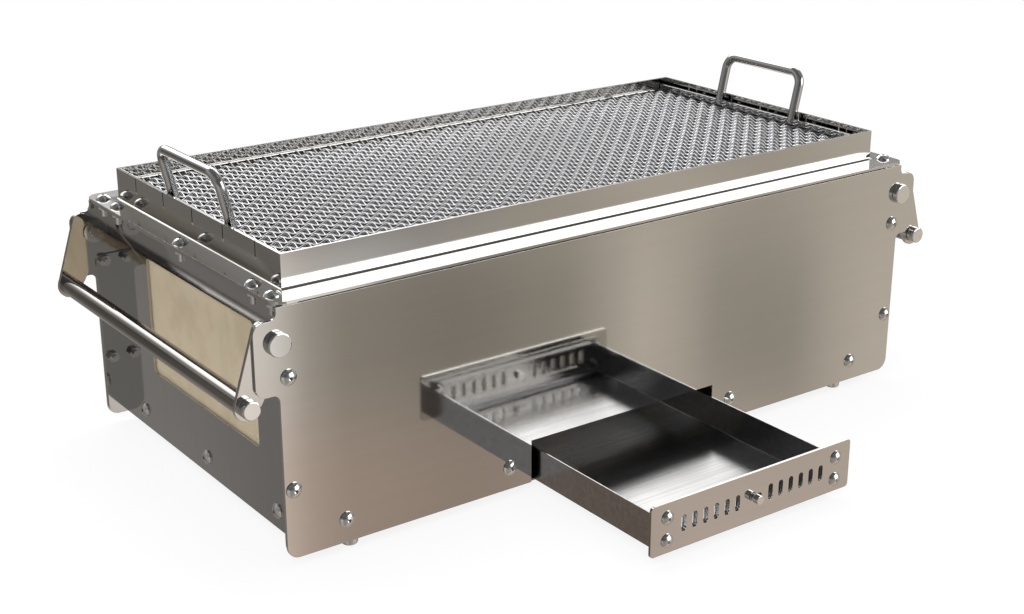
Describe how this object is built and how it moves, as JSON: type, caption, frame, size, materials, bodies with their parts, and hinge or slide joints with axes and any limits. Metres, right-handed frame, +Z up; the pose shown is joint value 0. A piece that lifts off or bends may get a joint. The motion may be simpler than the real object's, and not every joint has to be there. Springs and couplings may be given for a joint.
{
  "type": "portable charcoal grill",
  "caption": "Long table-top charcoal grill in polished stainless steel with a lift-out mesh grate, swinging carry handles and an open ash drawer with a sliding air vent.",
  "frame": {"origin": "on the table plane under the middle of the whole outline, with the ash drawer open as pictured", "axes": "+X along the grill to its right end, +Y to the back, +Z up"},
  "size_m": [0.6652, 0.4644, 0.26],
  "materials": {
    "polished_sheet": "polished",
    "frame_sheet": "polished",
    "inner_steel": "plain mill",
    "grate_steel": "bright",
    "polished_rod": "polished",
    "fastener": "bright",
    "foot": "bright",
    "heat_board": "matt, fine grained"
  },
  "bodies": {
    "grill_body": {"front_panel": "polished_sheet", "back_panel": "polished_sheet", "end_panel_left": "frame_sheet", "end_panel_right": "frame_sheet", "base_pan_left": "frame_sheet", "base_pan_right": "frame_sheet", "drawer_runner_left": "frame_sheet", "drawer_runner_right": "frame_sheet", "fire_floor": "inner_steel", "board_front": "heat_board", "board_back": "heat_board", "board_left": "heat_board", "board_right": "heat_board", "collar": "polished_sheet", "grate_ledges": "frame_sheet", "collar_screws": "fastener", "collar_nuts": "fastener", "panel_screws": "fastener", "panel_nuts": "fastener", "end_screws": "fastener", "end_nuts": "fastener", "feet": "foot", "foot_screws": "fastener", "pivot_pins": "fastener", "pivot_discs": "fastener"},
    "left_handle": {"left_arm_front": "polished_sheet", "left_arm_back": "polished_sheet", "left_grip": "polished_rod", "left_grip_bolts": "fastener"},
    "right_handle": {"right_arm_front": "polished_sheet", "right_arm_back": "polished_sheet", "right_grip": "polished_rod", "right_grip_bolts": "fastener"},
    "cooking_grate": {"grate_long_wires": "grate_steel", "grate_cross_wires": "grate_steel", "grate_end_bar_left": "grate_steel", "grate_end_bar_right": "grate_steel", "grate_side_bars": "grate_steel", "bail_left": "polished_rod", "bail_right": "polished_rod"},
    "charcoal_grate": {"charcoal_rods": "inner_steel", "charcoal_rails": "inner_steel"},
    "ash_drawer": {"drawer_tray": "polished_sheet", "drawer_front": "polished_sheet", "drawer_screws": "fastener", "drawer_nuts": "fastener", "vent_guides": "frame_sheet"},
    "vent_slide": {"vent_shutter": "frame_sheet", "vent_knob": "fastener", "vent_nut": "fastener"}
  },
  "joints": [
    {"name": "left_handle_pivot", "type": "hinge", "parent": "grill_body", "child": "left_handle", "pos_m": [-0.3, 0.0735, 0.1685], "axis": [0, 1, 0], "range_deg": [0, 75]},
    {"name": "right_handle_pivot", "type": "hinge", "parent": "grill_body", "child": "right_handle", "pos_m": [0.3, 0.0735, 0.1685], "axis": [0, -1, 0], "range_deg": [0, 75]},
    {"name": "cooking_grate_lift", "type": "slide", "parent": "grill_body", "child": "cooking_grate", "axis": [0, 0, 1], "range_m": [0, 0.12]},
    {"name": "charcoal_grate_lift", "type": "slide", "parent": "grill_body", "child": "charcoal_grate", "axis": [0, 0, 1], "range_m": [0, 0.1]},
    {"name": "ash_drawer_slide", "type": "slide", "parent": "grill_body", "child": "ash_drawer", "axis": [0, -1, 0], "range_m": [-0.1427, 0.09]},
    {"name": "vent_slide", "type": "slide", "parent": "ash_drawer", "child": "vent_slide", "axis": [1, 0, 0], "range_m": [0, 0.0051]}
  ]
}
